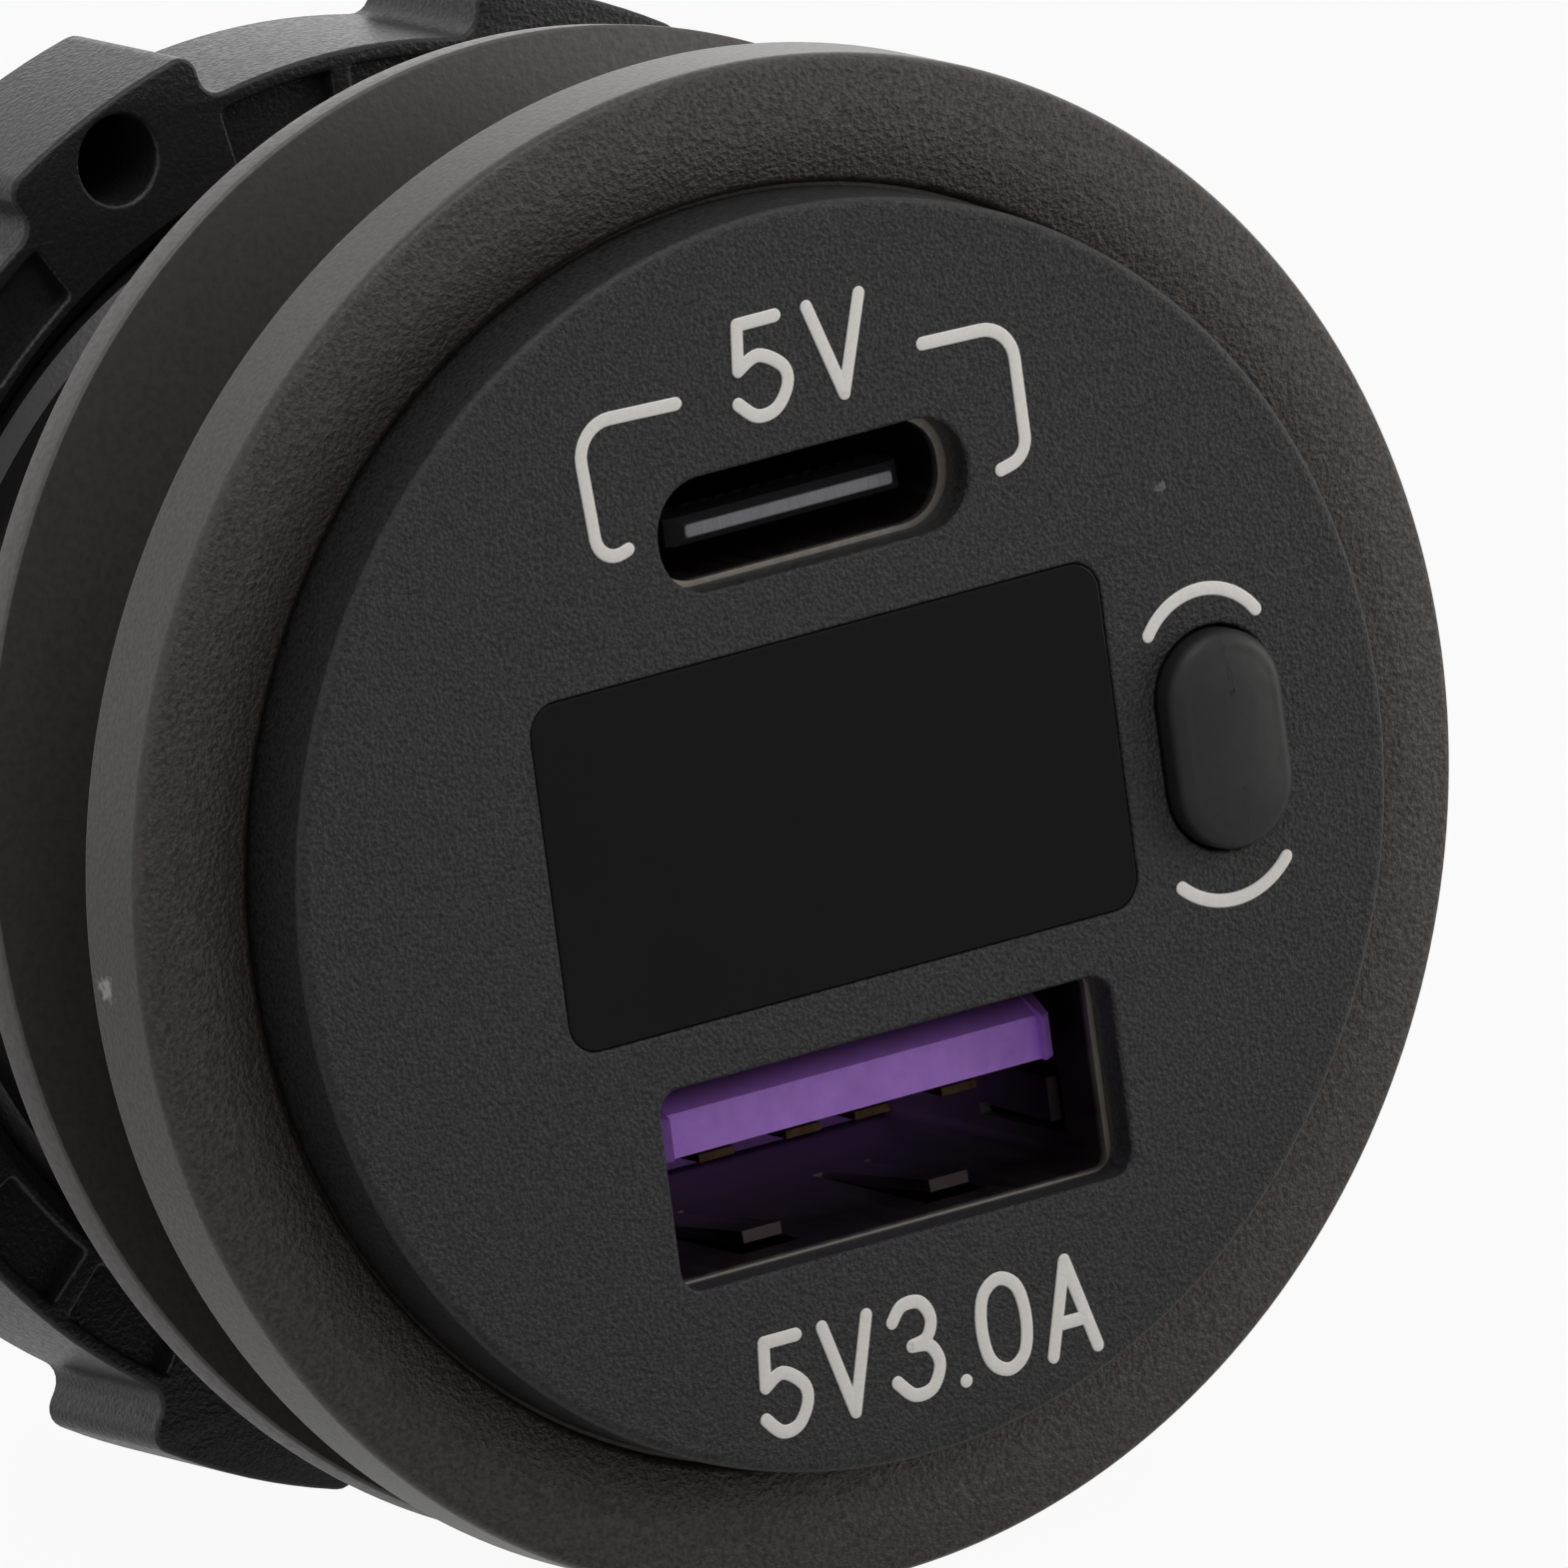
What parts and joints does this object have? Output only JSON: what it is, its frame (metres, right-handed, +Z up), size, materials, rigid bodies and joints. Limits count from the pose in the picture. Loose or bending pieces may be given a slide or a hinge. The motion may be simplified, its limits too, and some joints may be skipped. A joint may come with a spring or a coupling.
{
  "type": "panel-mount usb charging socket",
  "caption": "Round panel-mount 12 V charging socket with USB ports, a meter window, an oval button, a threaded barrel, a rubber washer, a lugged ring nut and rear blade terminals.",
  "frame": {"origin": "on the barrel's axis, in the plane of the flange's back face, where the panel lies", "axes": "+Y along the barrel from the face to the terminals, so the face looks along -Y; +Z up the face, with the small port at the top and the button on the +X side"},
  "size_m": [0.0376, 0.0506, 0.0376],
  "materials": {
    "housing_plastic": "fine grained black moulding",
    "face_plastic": "fine grained black moulding with light printed marks",
    "window_pane": "smooth smoke-tinted pane",
    "display_block": "black display block",
    "button_plastic": "smooth satin black",
    "switch_plastic": "black switch body",
    "port_steel": "nickel plated drawn steel",
    "purple_plastic": "purple contact carrier",
    "grey_tongue_plastic": "dark grey contact carrier",
    "contact_brass": "gilt contacts",
    "circuit_board": "green glass-fibre board",
    "ferrite": "grey ferrite",
    "capacitor_can": "drawn can on a black foot",
    "chip_plastic": "black package",
    "tinned_brass": "tinned blade",
    "washer_rubber": "matt black rubber",
    "nut_plastic": "fine grained black moulding"
  },
  "bodies": {
    "charger": {"threaded_housing": "housing_plastic", "face_plate": "face_plastic", "display_window": "window_pane", "display_module": "display_block", "tact_switch": "switch_plastic", "usb_a_shell": "port_steel", "usb_a_tongue": "purple_plastic", "usb_a_contacts": "contact_brass", "usb_c_shell": "port_steel", "usb_c_tongue": "grey_tongue_plastic", "usb_c_contacts": "contact_brass", "display_board": "circuit_board", "port_board": "circuit_board", "power_board": "circuit_board", "front_board_pins": "contact_brass", "rear_board_pins": "contact_brass", "power_inductor": "ferrite", "input_capacitor": "capacitor_can", "output_capacitors": "capacitor_can", "board_chips": "chip_plastic", "rear_cap": "housing_plastic", "terminal_positive": "tinned_brass", "terminal_negative": "tinned_brass", "sealing_washer": "washer_rubber", "ring_nut": "nut_plastic"},
    "button": {"power_button": "button_plastic", "switch_plunger": "switch_plastic"}
  },
  "joints": [
    {"name": "button_press", "type": "slide", "parent": "charger", "child": "button", "axis": [0, 1, 0], "range_m": [0, 0.0005], "stiffness_N_per_m": 1600, "springref_m": -0.0005}
  ]
}
